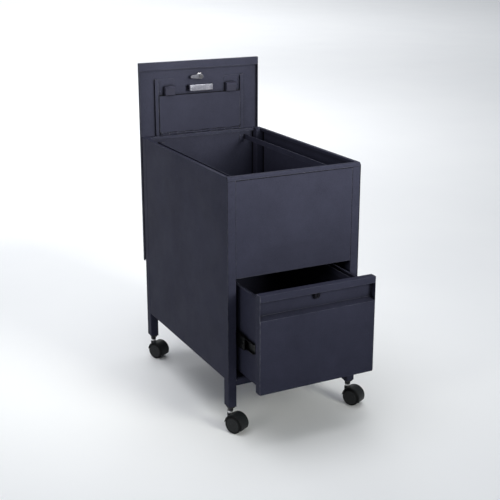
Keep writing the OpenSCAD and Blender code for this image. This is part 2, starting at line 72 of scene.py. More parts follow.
def P(x, y, z):
    return Vector((OX + x / 1000.0, OY + y / 1000.0, z / 1000.0))


# ------------------------------------------------------------------ materials
class Mat:
    """A small helper round one node tree."""

    def __init__(self, name):
        self.m = bpy.data.materials.new(name)
        self.m.use_nodes = True
        self.t = self.m.node_tree
        self.t.nodes.clear()
        self.out = self.n("ShaderNodeOutputMaterial")
        self.b = self.n("ShaderNodeBsdfPrincipled")
        self.t.links.new(self.b.outputs[0], self.out.inputs[0])
        self.co = self.n("ShaderNodeTexCoord").outputs["Object"]
        self.geo = self.n("ShaderNodeNewGeometry")
        self.normal = None

    def n(self, kind, **kw):
        x = self.t.nodes.new(kind)
        for k, v in kw.items():
            setattr(x, k, v)
        return x

    def link(self, a, b):
        self.t.links.new(a, b)

    def noise(self, scale, detail=3.0, rough=0.55, vec=None, distortion=0.0):
        x = self.n("ShaderNodeTexNoise")
        x.inputs["Scale"].default_value = scale
        x.inputs["Detail"].default_value = detail
        x.inputs["Roughness"].default_value = rough
        x.inputs["Distortion"].default_value = distortion
        self.link(vec or self.co, x.inputs["Vector"])
        return x.outputs["Fac"]

    def stretched(self, sx, sy, sz):
        x = self.n("ShaderNodeMapping")
        x.inputs["Scale"].default_value = (sx, sy, sz)
        self.link(self.co, x.inputs["Vector"])
        return x.outputs[0]

    def ramp(self, fac, *stops):
        x = self.n("ShaderNodeValToRGB")
        e = x.color_ramp.elements
        while len(e) < len(stops):
            e.new(0.5)
        for i, (p, c) in enumerate(stops):
            e[i].position = p
            e[i].color = (c, c, c, 1) if isinstance(c, (int, float)) else (*c, 1)
        self.link(fac, x.inputs[0])
        return x.outputs[0]

    def span(self, fac, a, b, lo, hi):
        x = self.n("ShaderNodeMapRange")
        x.clamp = True
        for k, v in zip(("From Min", "From Max", "To Min", "To Max"), (a, b, lo, hi)):
            x.inputs[k].default_value = v
        self.link(fac, x.inputs["Value"])
        return x.outputs[0]

    def math(self, op, a, b):
        x = self.n("ShaderNodeMath", operation=op)
        for i, v in enumerate((a, b)):
            if isinstance(v, (int, float)):
                x.inputs[i].default_value = v
            else:
                self.link(v, x.inputs[i])
        return x.outputs[0]

    def mix(self, fac, a, b, kind="MIX"):
        x = self.n("ShaderNodeMix", data_type="RGBA", blend_type=kind)
        for s, v in ((x.inputs[0], fac), (x.inputs[6], a), (x.inputs[7], b)):
            if isinstance(v, (int, float)):
                s.default_value = v
            elif isinstance(v, (tuple, list)):
                s.default_value = (*v, 1)
            else:
                self.link(v, s)
        return x.outputs[2]

    def bump(self, height, dist, strength=1.0):
        x = self.n("ShaderNodeBump")
        x.inputs["Strength"].default_value = strength
        x.inputs["Distance"].default_value = dist
        self.link(height, x.inputs["Height"])
        if self.normal is not None:
            self.link(self.normal, x.inputs["Normal"])
        self.normal = x.outputs[0]

    def edges(self, radius, lo=0.86, hi=0.985):
        """1 on edges that are sharper than the radius, 0 on flat parts."""
        x = self.n("ShaderNodeBevel", samples=4)
        x.inputs["Radius"].default_value = radius
        d = self.n("ShaderNodeVectorMath", operation="DOT_PRODUCT")
        self.link(x.outputs[0], d.inputs[0])
        self.link(self.geo.outputs["Normal"], d.inputs[1])
        return self.span(d.outputs["Value"], lo, hi, 1.0, 0.0)

    def crevice_shade(self, dist, lo=0.35, hi=0.85, floor=0.3):
        """Painted shade: darkens the base colour in seams, corners and gaps by ambient occlusion. 1 in the open."""
        x = self.n("ShaderNodeAmbientOcclusion", samples=8)
        x.inputs["Distance"].default_value = dist
        return self.span(x.outputs["AO"], lo, hi, floor, 1.0)

    def done(self, color=None, rough=None, metallic=0.0, **fixed):
        b = self.b
        if color is not None:
            self.link(color, b.inputs["Base Color"])
        if rough is not None:
            self.link(rough, b.inputs["Roughness"])
        b.inputs["Metallic"].default_value = metallic
        for k, v in fixed.items():
            b.inputs[k.replace("_", " ")].default_value = v
        if self.normal is not None:
            self.link(self.normal, b.inputs["Normal"])
        return self.m


def paint(name, base, worn_and_highlight, rough=0.42, grain=1.0, mottle=0.10, wear=0.5, reach=(0.011, 0.30, 0.92, 0.10), edge_radius=0.0017):
    """Textured powder coat: fine grain, faint orange peel, smudges, painted shade in seams and corners, and thinner,
    shinier edges whose lighter colour is partly wear and partly a painted highlight.
    """
    m = Mat(name)
    cloud = m.noise(7.0, 4.0, 0.6)
    blotch = m.noise(38.0, 3.0, 0.6)
    fine = m.noise(1500.0, 2.0, 0.5)
    k = m.math("ADD", m.span(cloud, 0.3, 0.7, -mottle, mottle), m.span(blotch, 0.3, 0.7, -mottle * 0.5, mottle * 0.5))
    k = m.math("ADD", k, m.span(fine, 0.3, 0.7, -0.10, 0.10))
    k = m.math("ADD", k, m.span(m.noise(340.0, 2.0, 0.6), 0.3, 0.7, -0.14, 0.14))
    k = m.math("ADD", k, 1.0)
    tone = m.n("ShaderNodeCombineColor")
    for i in range(3):
        m.link(k, tone.inputs[i])
    col = m.mix(1.0, tuple(base), tone.outputs[0], "MULTIPLY")
    shade = m.n("ShaderNodeCombineColor")
    # painted shade: the base colour is darkened by ambient occlusion in seams and corners
    ao_shade = m.crevice_shade(*reach)
    for i in range(3):
        m.link(ao_shade, shade.inputs[i])
    col = m.mix(1.0, col, shade.outputs[0], "MULTIPLY")
    # edges get a lighter colour: partly wear, partly a painted highlight along folds and rims
    edge = m.math("MULTIPLY", m.edges(edge_radius), m.span(m.noise(60.0, 4.0, 0.65), 0.36, 0.62, 0.15, wear))
    col = m.mix(edge, col, tuple(worn_and_highlight))
    r = m.math("ADD", m.span(m.noise(11.0, 4.0, 0.6), 0.3, 0.7, rough - 0.05, rough + 0.06), m.span(m.noise(260.0, 3.0, 0.6), 0.3, 0.7, -0.05, 0.05))
    r = m.math("SUBTRACT", r, m.math("MULTIPLY", edge, 0.12))
    m.bump(m.noise(170.0, 2.0, 0.5), 0.00012 * grain, 0.35)
    m.bump(m.noise(1100.0, 3.0, 0.6), 0.00006 * grain, 0.5)
    return m.done(col, r, 0.0, IOR=1.45, Specular_IOR_Level=0.03, Coat_Weight=0.0)


def plated(name, base, rough, streak=(1, 1, 1), tint=None, wear=0.3, spots=0.15):
    """Plated or bare steel: metallic, with drawing lines and slight dulling."""
    m = Mat(name)
    lines = m.noise(900.0, 3.0, 0.6, m.stretched(*streak))
    cloud = m.noise(45.0, 4.0, 0.6)
    col = m.mix(m.span(cloud, 0.35, 0.7, 0.0, spots * 2), tuple(base), tuple(c * 0.72 for c in base))
    col = m.mix(m.span(lines, 0.35, 0.65, 0.0, spots), col, tuple(min(1.0, c * 1.18) for c in base))
    if tint:
        col = m.mix(m.span(m.noise(18.0, 2.0), 0.4, 0.65, 0.0, 0.35), col, tuple(tint))
    edge = m.math("MULTIPLY", m.edges(0.0008), wear)
    col = m.mix(edge, col, tuple(min(1.0, c * 1.35 + 0.03) for c in base))
    r = m.math("ADD", m.span(lines, 0.3, 0.7, rough - 0.06, rough + 0.08), m.span(cloud, 0.3, 0.7, -0.04, 0.05))
    m.bump(lines, 0.00003, 0.4)
    return m.done(col, r, 1.0)


def moulded(name, base, rough=0.5, grain=450.0, depth=0.00005, edge_tone=1.5, dust=0.25, spec=0.15):
    """Moulded plastic or rubber: spark-eroded grain, faint flow marks, dust and rubbed edges."""
    m = Mat(name)
    g = m.noise(grain * 3, 2.0, 0.5)
    flow = m.noise(26.0, 4.0, 0.6)
    col = m.mix(m.span(flow, 0.35, 0.7, 0.0, 0.6), tuple(base), tuple(c * 1.35 for c in base))
    col = m.mix(m.span(g, 0.55, 0.75, 0.0, dust), col, tuple(c * 1.8 + 0.004 for c in base))
    shade = m.n("ShaderNodeCombineColor")
    # painted shade: the base colour is darkened by ambient occlusion in corners and gaps
    ao_shade = m.crevice_shade(0.006, 0.35, 0.9, 0.15)
    for i in range(3):
        m.link(ao_shade, shade.inputs[i])
    col = m.mix(1.0, col, shade.outputs[0], "MULTIPLY")
    edge = m.math("MULTIPLY", m.edges(0.0012), m.span(m.noise(110.0, 4.0, 0.6), 0.4, 0.65, 0.1, 0.5))
    col = m.mix(edge, col, tuple(c * edge_tone + 0.008 for c in base))
    r = m.math("ADD", m.span(flow, 0.3, 0.7, rough - 0.05, rough + 0.07), m.span(g, 0.3, 0.7, -0.06, 0.06))
    m.bump(g, depth, 0.6)
    return m.done(col, r, 0.0, IOR=1.45, Specular_IOR_Level=spec)


MATS = {
    "painted_steel": paint("painted_steel_looks", (0.0236, 0.0246, 0.0410), (0.115, 0.118, 0.145), 0.5, wear=0.9),
    "slide_steel": plated("slide_steel_looks", (0.0115, 0.0122, 0.0128), 0.42, (1, 0.04, 1)),
    "zinc_steel": plated("zinc_steel_looks", (0.058, 0.059, 0.074), 0.27, (1, 1, 0.06), (0.05, 0.05, 0.062)),
    "bright_plate": plated("bright_plate_looks", (0.175, 0.175, 0.215), 0.22, (0.05, 1, 1)),
    "lock_chrome": plated("lock_chrome_looks", (0.28, 0.28, 0.31), 0.22, (1, 1, 1)),
    "lock_black": plated("lock_dark_looks", (0.016, 0.016, 0.021), 0.30, (1, 1, 1)),
    "stop_rubber": moulded("stop_rubber_looks", (0.0215, 0.0218, 0.0350), 0.62, 300.0, 0.00009, spec=0.05),
    "socket_plastic": moulded("socket_plastic_looks", (0.022, 0.022, 0.025), 0.5),
    "caster_plastic": moulded("caster_plastic_looks", (0.0128, 0.0142, 0.0156), 0.42),
    "wheel_nylon": moulded("wheel_nylon_looks", (0.0075, 0.0080, 0.0088), 0.5),
    "stem_steel": plated("stem_steel_looks", (0.70, 0.70, 0.71), 0.42, (1, 1, 0.1)),
}
# near-black material for strips put in gaps where there is only shadow: painted shadow
SHADOW_STRIP_MAT = moulded("shadow_strip_looks", (0.0040, 0.0042, 0.0060), 0.7, spec=0.02)
# shaded copy of the paint for the drawer head: a darker base as painted shade, a longer painted-shade reach that
# darkens the ledge under the overhang, and a stronger painted highlight on the edges
HEAD_SHADED_MAT = paint("head_paint_shaded_looks", (0.0222, 0.0232, 0.0392), (0.135, 0.138, 0.168), 0.5, wear=1.0, reach=(0.018, 0.30, 0.92, 0.12), edge_radius=0.0016)
NUT_MAT = plated("nut_looks", (0.055, 0.055, 0.064), 0.28, (1, 1, 1))
CAP_MAT = moulded("wheel_cap_looks", (0.0200, 0.0212, 0.0225), 0.42)
SLOT = {s["node"]: s["material_slot"] for s in frame["record"]["subparts"]}
# ------------------------------------------------------------------ building blocks
BODIES = frame["record"]["behaviour"]["bodies"]
BODY_OF = {n: b for b, ns in BODIES.items() for n in ns}
JOINTS = {j["name"]: j for j in frame["joints"]}
MM = 0.001


def add_object(name, me, matrix=None):
    o = bpy.data.objects.new(name, me)
    scene.collection.objects.link(o)
    if matrix is not None:
        o.matrix_world = matrix
    return o


def finish_mesh(name, bm, slot, smooth=True, mat=None):
    bmesh.ops.recalc_face_normals(bm, faces=bm.faces)
    me = bpy.data.meshes.new(name)
    bm.to_mesh(me)
    bm.free()
    for p in me.polygons:
        p.use_smooth = smooth
    me.materials.append(mat or MATS[slot])
    return me


def weighted(o, bevel=0.0, segments=2, angle=35.0):
    if bevel:
        b = o.modifiers.new("bevel", "BEVEL")
        b.width = bevel
        b.segments = segments
        b.limit_method = "ANGLE"
        b.angle_limit = math.radians(angle)
        b.use_clamp_overlap = True
    n = o.modifiers.new("normals", "WEIGHTED_NORMAL")
    n.keep_sharp = False
    return o


def place(o, body, replaces=()):
    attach(o, body)
    if replaces:
        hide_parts(*replaces)
    return o


def box_bm(bm, lo, hi, r=0.0, seg=3):
    """A block between two corners, with all its edges rounded."""
    made = bmesh.ops.create_cube(bm, size=1.0)["verts"]
    lo, hi = Vector(lo), Vector(hi)
    for v in made:
        v.co = Vector([(lo[i] + hi[i]) / 2 + v.co[i] * (hi[i] - lo[i]) for i in range(3)])
    if r:
        es = list({e for v in made for e in v.link_edges})
        bmesh.ops.bevel(bm, geom=es, offset=r, segments=seg, profile=0.5, affect="EDGES", clamp_overlap=True)


def lathe_bm(bm, profile, centre, axis, steps=64, start=0.0, turn=2 * math.pi):
    """Turns (radius, height) points round an axis through centre. A full turn is closed."""
    axis = Vector(axis).normalized()
    a = axis.orthogonal().normalized()
    b = axis.cross(a)
    full = abs(turn - 2 * math.pi) < 1e-6
    rings = []
    n = steps if full else steps + 1
    for i in range(n):
        t = start + turn * i / steps
        d = a * math.cos(t) + b * math.sin(t)
        rings.append([bm.verts.new(Vector(centre) + axis * h + d * r) for r, h in profile])
    m = len(profile)
    for i in range(steps if full else n - 1):
        p, q = rings[i], rings[(i + 1) % n]
        for k in range(m - 1):
            f = [p[k], p[k + 1], q[k + 1], q[k]]
            bm.faces.new(f)
    return rings


def rounded(points, radii, seg=4):
    """A polyline with each corner rounded to its radius (0 keeps it sharp)."""
    out = []
    n = len(points)
    for i, p in enumerate(points):
        r = radii[i] if not isinstance(radii, (int, float)) else radii
        if i in (0, n - 1) or not r:
            out.append(tuple(p))
            continue
        p0, p1, p2 = Vector(points[i - 1]), Vector(p), Vector(points[i + 1])
        a, b = (p0 - p1), (p2 - p1)
        la, lb = a.length, b.length
        if la < 1e-9 or lb < 1e-9:
            out.append(tuple(p))
            continue
        a, b = a / la, b / lb
        ang = math.acos(max(-1, min(1, a.dot(b))))
        t = min(r / max(math.tan(ang / 2), 1e-4), la * 0.49, lb * 0.49)
        s, e = p1 + a * t, p1 + b * t
        for k in range(seg + 1):
            u = k / seg
            out.append(tuple((s * (1 - u) ** 2) + (p1 * (2 * u * (1 - u))) + (e * u * u)))
    return out


def extrude_bm(bm, outline, to3d, depth_vec, holes=()):
    """A flat outline with holes, given a thickness along depth_vec. to3d turns (u, v) into a point."""
    from mathutils.geometry import tessellate_polygon
    loops = [list(outline)] + [list(h) for h in holes]
    flat = [Vector((p[0], p[1], 0)) for l in loops for p in l]
    tris = tessellate_polygon([[Vector((p[0], p[1], 0)) for p in l] for l in loops])
    d = Vector(depth_vec)
    lower = [bm.verts.new(to3d(p.x, p.y)) for p in flat]
    upper = [bm.verts.new(to3d(p.x, p.y) + d) for p in flat]
    for t in tris:
        try:
            bm.faces.new([lower[i] for i in t])
            bm.faces.new([upper[i] for i in reversed(t)])
        except ValueError:
            pass
    k = 0
    for l in loops:
        n = len(l)
        for i in range(n):
            j = (i + 1) % n
            bm.faces.new([lower[k + i], lower[k + j], upper[k + j], upper[k + i]])
        k += n
    bmesh.ops.dissolve_limit(bm, angle_limit=math.radians(0.5), verts=lower + upper, edges=list({e for v in lower + upper for e in v.link_edges}))


def circle_pts(cx, cy, r, n=48):
    return [(cx + r * math.cos(2 * math.pi * i / n), cy + r * math.sin(2 * math.pi * i / n)) for i in range(n)]


# ------------------------------------------------------------------ folded sheet
def soften(node, outer=1.7, inner=0.45, cut=0.24, name=None, mat=None):
    """Copies a sheet-metal node and gives it what a press brake leaves: rounded folds and rubbed cut edges."""
    bm = bmesh.new()
    bm.from_mesh(NODES[node].data)
    bmesh.ops.remove_doubles(bm, verts=bm.verts, dist=1e-5)
    bmesh.ops.dissolve_limit(bm, angle_limit=math.radians(0.8), verts=bm.verts, edges=bm.edges)
    bm.normal_update()
    thin = bm.faces.layers.int.new("thin")
    size = bm.faces.layers.float.new("span")
    for f in bm.faces:
        w = f.calc_area() / max(f.calc_perimeter() / 2, 1e-9)
        f[thin] = 1 if w < 0.00165 else 0
        f[size] = w

    def pick(convex, lo, hi, thin_ok):
        out = []
        for e in bm.edges:
            if len(e.link_faces) != 2 or e.calc_face_angle(0.0) < math.radians(38):
                continue
            fa, fb = e.link_faces
            is_thin = bool(fa[thin] or fb[thin])
            if is_thin != thin_ok:
                continue
            if not thin_ok:
                w = min(fa[size], fb[size])
                if e.is_convex != convex or not lo <= w < hi:
                    continue
            if e.calc_length() < 0.0008:
                continue
            out.append(e)
        return out

    for convex, off, seg, lo, hi, ok in (
        (True, outer, 4, 0.0042, 9, False),
        (True, min(outer, 0.7), 3, 0.0, 0.0042, False),
        (False, inner, 3, 0.0, 9, False),
        (None, cut, 2, 0, 9, True),
    ):
        es = pick(convex, lo, hi, ok)
        if es:
            bmesh.ops.bevel(bm, geom=es, offset=off * MM, segments=seg, profile=0.5, affect="EDGES", clamp_overlap=ok)
            bm.normal_update()
    bmesh.ops.remove_doubles(bm, verts=bm.verts, dist=2e-6)
    src = bmesh.new()
    src.from_mesh(NODES[node].data)
    bmesh.ops.remove_doubles(src, verts=src.verts, dist=1e-5)
    want, got = abs(src.calc_volume()), abs(bm.calc_volume())
    area0, area1 = sum(f.calc_area() for f in src.faces), sum(f.calc_area() for f in bm.faces)
    src.free()
    lo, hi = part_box(node)
    if abs(got - want) > 0.06 * want or abs(area1 - area0) > 0.04 * area0:
        print("SOFTEN", node, "volume", round(got / want, 3), "area", round(area1 / area0, 3))
        bm.free()
        return None
    me = finish_mesh(name or node + "_sheet", bm, SLOT[node], mat=mat)
    o = weighted(add_object(me.name, me))
    return place(o, BODY_OF[node], [node])


SHEETS = [
    "left_side_panel", "right_side_panel", "front_panel", "back_panel", "tub_floor", "base_pan",
    "front_bottom_rail", "rear_bottom_rail", "left_front_post", "right_front_post",
    "left_rear_post", "right_rear_post",
    "drawer_left_side", "drawer_right_side", "drawer_back",
    "drawer_box_front", "left_slide_channel", "right_slide_channel", "drawer_slide_rails",
]
WIDE = {"left_rear_post": 2.6, "right_rear_post": 2.6, "left_front_post": 2.2, "right_front_post": 2.2}
for node in SHEETS:
    soften(node, outer=WIDE.get(node, 1.4), cut=0.45 if "side_panel" in node else 0.24)

# ------------------------------------------------------------------ casters
def wheel_mesh():
    """Tread and rim of one wheel: axis +y, inner face at 0."""
    R, W = WHEEL_R, WHEEL_W
    prof = rounded(
        [(3.2, W - 2.0), (3.2, 0.0), (9.0, 0.0), (9.6, 1.0), (R - 6.0, 1.0), (R - 4.6, 0.0), (R - 1.6, 0.0), (R, 1.7), (R, W - 5.4),
         (R - 0.8, W - 2.6), (R - 2.6, W - 1.0), (R - 4.2, W - 0.6), (R - 4.7, W - 1.8), (R - 5.2, W - 2.0), (3.2, W - 2.0)],
        [0, 0.2, 0.5, 0.5, 0.6, 0.8, 0.9, 1.2, 3.0, 1.6, 1.2, 0.4, 0.3, 0, 0], 3)[:-1]
    bm = bmesh.new()
    rings = lathe_bm(bm, [(r * MM, h * MM) for r, h in prof] + [(prof[0][0] * MM, prof[0][1] * MM)], (0, 0, 0), (0, 1, 0), 96)
    bmesh.ops.remove_doubles(bm, verts=bm.verts, dist=2e-6)
    return finish_mesh("caster_tread_form", bm, "wheel_nylon")


def cap_mesh():
    """Side cap of a wheel: a shallow dome with a raised ring and a hub boss."""
    R, W = WHEEL_R, WHEEL_W
    prof = rounded(
        [(0.0, W - 1.9), (R - 5.6, W - 1.9), (R - 5.6, W - 0.9), (R - 6.4, W - 0.15), (R - 8.0, W), (R - 9.2, W - 0.1), (R - 9.7, W - 0.55),
         (9.6, W - 0.35), (9.0, W - 0.85), (7.9, W - 0.85), (7.4, W - 0.2), (0.0, W)],
        [0, 0.1, 0.4, 0.8, 0.6, 0.4, 0.3, 0.4, 0.2, 0.2, 0.5, 0], 3)
    bm = bmesh.new()
    lathe_bm(bm, [(r * MM, h * MM) for r, h in prof], (0, 0, 0), (0, 1, 0), 96)
    bmesh.ops.remove_doubles(bm, verts=bm.verts, dist=2e-6)
    return finish_mesh("caster_cap_form", bm, "wheel_nylon", mat=CAP_MAT)


def hood_mesh(trail):
    """Moulded hood in its own frame: swivel axis on z, wheels trailing along +x, floor at 0."""
    R = WHEEL_R
    bm = bmesh.new()
    # fender: a shell with rounded shoulders, from over the stem to low behind the wheels
    ro, ri, hw = R + 4.0, R + 1.4, 20.8
    prof = rounded([(ri, -hw), (ri + 0.9, -hw), (ro - 0.1, -hw + 3.2), (ro, 0), (ro - 0.1, hw - 3.2), (ri + 0.9, hw), (ri, hw), (ri, 0), (ri, -hw)],
                   [0, 0.6, 3.0, 0, 3.0, 0.6, 0.3, 0, 0], 5)
    a0, a1 = math.asin((14.2 - R) / ro), math.pi - math.asin(2.3 / ro)
    n = 64
    rings = []
    for i in range(n + 1):
        t = a0 + (a1 - a0) * i / n
        rings.append([bm.verts.new(Vector(((trail + r * math.cos(t)) * MM, y * MM, (R + r * math.sin(t)) * MM))) for r, y in prof[:-1]])
    m = len(prof) - 1
    for i in range(n):
        for k in range(m):
            bm.faces.new([rings[i][k], rings[i][(k + 1) % m], rings[i + 1][(k + 1) % m], rings[i + 1][k]])
    bm.faces.new(rings[0])
    bm.faces.new(list(reversed(rings[-1])))
    # web between the wheels
    out = []
    rw = R - 1.6
    zc = 11.2
    t0 = math.asin((zc - R) / rw)
    for i in range(49):
        t = t0 + (math.pi - 2 * t0) * i / 48
        x, z = trail + rw * math.cos(t), R + rw * math.sin(t)
        out.append((x, z))
    extrude_bm(bm, out, lambda u, v: Vector((u * MM, -4.1 * MM, v * MM)), (0, 8.2 * MM, 0))
    extrude_bm(bm, rounded([(-7.5, R + 4.2), (-7.5, 53.6), (-6.2, 54.6), (12.0, 54.6), (trail, R + rw + 2.0), (trail, R + 4.2), (-7.5, R + 4.2)], [0, 1.0, 1.0, 4.0, 0, 0, 0], 4)[:-1],
               lambda u, v: Vector((u * MM, -4.1 * MM, v * MM)), (0, 8.2 * MM, 0))
    # stem boss
    lathe_bm(bm, [(0.0, 40.0 * MM)] + [(r * MM, z * MM) for r, z in rounded([(9.4, 40.0), (9.4, 54.0), (8.4, 55.0)], [0, 0.8, 0], 4)] + [(0.0, 55.0 * MM)], (0, 0, 0), (0, 0, 1), 48)
    bmesh.ops.remove_doubles(bm, verts=bm.verts, dist=1e-6)
    bmesh.ops.recalc_face_normals(bm, faces=bm.faces)
    me = bpy.data.meshes.new("caster_hood_form")
    bm.to_mesh(me)
    bm.free()
    # one moulding: fuse the parts and melt their inner corners
    o = add_object("tmp_hood", me)
    r = o.modifiers.new("fuse", "REMESH")
    r.mode = "VOXEL"
    r.voxel_size = 0.00072
    r.use_smooth_shade = True
    s = o.modifiers.new("melt", "CORRECTIVE_SMOOTH")
    s.factor = 0.6
    s.iterations = 6
    s.smooth_type = "SIMPLE"
    s.use_only_smooth = True
    d = o.modifiers.new("thin", "DECIMATE")
    d.ratio = 0.45
    dg = bpy.context.evaluated_depsgraph_get()
    done = bpy.data.meshes.new_from_object(o.evaluated_get(dg))
    bpy.data.objects.remove(o)
    done.name = "caster_hood_form"
    for p in done.polygons:
        p.use_smooth = True
    done.materials.clear()
    done.materials.append(MATS["caster_plastic"])
    return done


def stem_mesh(trail):
    bm = bmesh.new()
    prof = rounded([(0, 34.5), (3.5, 34.5), (3.5, 48.0), (5.5, 48.3), (5.5, 55.2), (7.2, 55.2), (7.2, 58.0), (6.7, 58.4), (6.7, 59.0), (7.2, 59.4), (7.2, 62.3), (5.5, 62.3), (5.5, 104.6), (4.4, 106.0), (0, 106.0)],
                   [0, 0.4, 0, 0.3, 0, 0.7, 0.3, 0.2, 0.2, 0.3, 0.7, 0.2, 0.5, 0.4, 0], 3)
    lathe_bm(bm, [(r * MM, z * MM) for r, z in prof], (0, 0, 0), (0, 0, 1), 48)
    ln = 20.3
    prof = rounded([(0, -ln), (2.4, -ln), (3.0, -ln + 0.7), (3.0, ln - 0.7), (2.4, ln), (0, ln)], [0, 0.2, 0.2, 0.2, 0.2, 0], 2)
    lathe_bm(bm, [(r * MM, z * MM) for r, z in prof], (trail * MM, 0, WHEEL_R * MM), (0, 1, 0), 40)
    bmesh.ops.remove_doubles(bm, verts=bm.verts, dist=1e-6)
    return finish_mesh("caster_stem_form", bm, "stem_steel")


_j = JOINTS["caster_front_left_swivel"]
_w = JOINTS["wheel_front_left_a_spin"]
WHEEL_R = _w["pos_m"][2] / MM
TRAIL = (Vector(_w["pos_m"][:2]) - Vector(_j["pos_m"][:2])).length / MM
_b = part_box("caster_wheel_front_left_a")
AXLE = Vector(_w["axis"]).normalized()
WHEEL_W = 17.0
HOOD, STEM, WHEEL, CAP = hood_mesh(TRAIL), stem_mesh(TRAIL), wheel_mesh(), cap_mesh()
for where in ("front_left", "front_right", "rear_left", "rear_right"):
    sw, sp = JOINTS[f"caster_{where}_swivel"], JOINTS[f"wheel_{where}_a_spin"]
    base = Vector((sw["pos_m"][0], sw["pos_m"][1], 0.0))
    fwd = Vector((sp["pos_m"][0] - base.x, sp["pos_m"][1] - base.y, 0.0)).normalized()
    turn = Matrix.Rotation(math.atan2(fwd.y, fwd.x), 4, "Z")
    M = Matrix.Translation(base) @ turn
    body = f"caster_{where}"
    place(weighted(add_object(f"hood_{where}", HOOD, M)), body, [f"caster_hood_{where}"])
    place(weighted(add_object(f"stem_{where}", STEM, M)), body, [f"caster_stem_{where}"])
    for side, s in (("a", -1), ("b", 1)):
        flip = Matrix.Rotation(math.pi, 4, "Z") if s < 0 else Matrix.Identity(4)
        W = M @ Matrix.Translation(Vector((TRAIL * MM, s * 5.0 * MM, WHEEL_R * MM))) @ flip
        place(weighted(add_object(f"wheel_{where}_{side}_form", WHEEL, W)), f"wheel_{where}_{side}", [f"caster_wheel_{where}_{side}"])
        place(weighted(add_object(f"wheel_{where}_{side}_cap", CAP, W)), f"wheel_{where}_{side}")

# ------------------------------------------------------------------ folded sections along a line
def fold_bm(bm, pts, radii, t, to3d, run, seg=5):
    """A sheet of thickness t along a bent outline. The outline is the outer side and the sheet lies to its right."""
    line = rounded([(a, b) for a, b in pts], radii, seg)
    line = [Vector((p[0], p[1])) for p in line]
    clean = [line[0]]
    for p in line[1:]:
        if (p - clean[-1]).length > 1e-4:
            clean.append(p)
    inner = []
    for i, p in enumerate(clean):
        d0 = (p - clean[i - 1]).normalized() if i else None
        d1 = (clean[i + 1] - p).normalized() if i < len(clean) - 1 else None
        d0, d1 = d0 or d1, d1 or d0
        n0, n1 = Vector((d0.y, -d0.x)), Vector((d1.y, -d1.x))
        m = (n0 + n1).normalized()
        inner.append(p + m * (t / max(m.dot(n0), 0.5)))
    ends = []
    for s in run:
        o = [bm.verts.new(to3d(p.x, p.y, s)) for p in clean]
        q = [bm.verts.new(to3d(p.x, p.y, s)) for p in inner]
        ends.append((o, q))
    n = len(clean)
    for (o0, q0), (o1, q1) in zip(ends, ends[1:]):
        for i in range(n - 1):
            bm.faces.new([o0[i], o0[i + 1], o1[i + 1], o1[i]])
            bm.faces.new([q0[i], q1[i], q1[i + 1], q0[i + 1]])
        bm.faces.new([o0[0], o1[0], q1[0], q0[0]])
        bm.faces.new([o0[-1], q0[-1], q1[-1], o1[-1]])
    for (o, q), flip in ((ends[0], False), (ends[-1], True)):
        for i in range(n - 1):
            f = [o[i], q[i], q[i + 1], o[i + 1]]
            bm.faces.new(f if not flip else list(reversed(f)))


def piece(name, bm, body, slot, replaces=(), bevel=0.0, segments=2, angle=35.0, smooth=True, mat=None):
    me = finish_mesh(name, bm, slot, smooth, mat=mat)
    return place(weighted(add_object(name, me), bevel, segments, angle), body, replaces)


def dome_bm(bm, centre, axis, r, h, collar=0.25, n=32):
    """Rivet or button head that stands on centre and points along axis."""
    prof = [(0.0, -0.6), (r, -0.6), (r, collar)]
    for i in range(1, 7):
        t = math.pi / 2 * i / 6
        prof.append((r * math.cos(t), collar + (h - collar) * math.sin(t)))
    prof[-1] = (0.0, h)
    lathe_bm(bm, [(a * MM, b * MM) for a, b in prof], centre, axis, n)
    bmesh.ops.remove_doubles(bm, verts=bm.verts, dist=1e-6)


def hexnut_bm(bm, centre, axis, across, h, bore, n=6):
    axis = Vector(axis).normalized()
    a = axis.orthogonal().normalized()
    b = axis.cross(a)
    r = across / math.sqrt(3)
    loops = []
    for rr, hh in ((bore, 0.0), (r * 0.93, 0.0), (r, h * 0.14), (r, h * 0.84), (r * 0.93, h), (bore + 0.5, h), (bore, h - 0.5)):
        ring = []
        for i in range(48):
            t = 2 * math.pi * i / 48
            if rr >= r * 0.92:
                k = math.cos(math.pi / 6) / math.cos(((t + math.pi / 6) % (math.pi / 3)) - math.pi / 6)
                k = min(k, 1.0) if rr == r else min(k, 0.94 / 0.93)
                q = rr * k
            else:
                q = rr
            ring.append(bm.verts.new(Vector(centre) + (axis * hh + (a * math.cos(t) + b * math.sin(t)) * q) * MM))
        loops.append(ring)
    for k in range(len(loops)):
        u, v = loops[k], loops[(k + 1) % len(loops)]
        for i in range(48):
            j = (i + 1) % 48
            bm.faces.new([u[i], u[j], v[j], v[i]])


# ------------------------------------------------------------------ drawer head
HX, HY, HT = 186.8, -140.0, 1.2
bm = bmesh.new()
fold_bm(bm, [(-116.3, 184.0), (-116.3, 171.0), (HY, 171.0), (HY, 390.5), (-119.2, 399.0), (-119.2, 444.5), (HY, 444.5), (HY, 464.5), (-116.3, 464.5), (-116.3, 452.0)],
        [0, 1.2, 1.3, 0.9, 0.8, 0.8, 1.0, 1.5, 1.2, 0], HT, lambda y, z, s: P(s, y, z), (-HX + 1.3, HX - 1.3), 6)
piece("drawer_head_form", bm, "drawer", SLOT["drawer_face"], ["drawer_face", "drawer_pull"], 0.25, 2, 50, mat=HEAD_SHADED_MAT)
for s, side in ((-1, "left"), (1, "right")):
    bm = bmesh.new()
    out = rounded([(-116.4, 172.6), (-136.0, 171.4), (HY + 0.3, 174.5), (HY + 0.3, 463.6), (-139.0, 464.2), (-116.4, 464.2), (-116.4, 172.6)], [0, 2.2, 1.5, 1.0, 0.6, 0, 0], 4)[:-1]
    x0 = -HX if s < 0 else HX - 1.2
    extrude_bm(bm, out, lambda u, v: P(x0, u, v), (1.2 * MM, 0, 0))
    piece(f"drawer_head_end_{side}", bm, "drawer", SLOT["drawer_face"], (), 0.35, 2, 30)

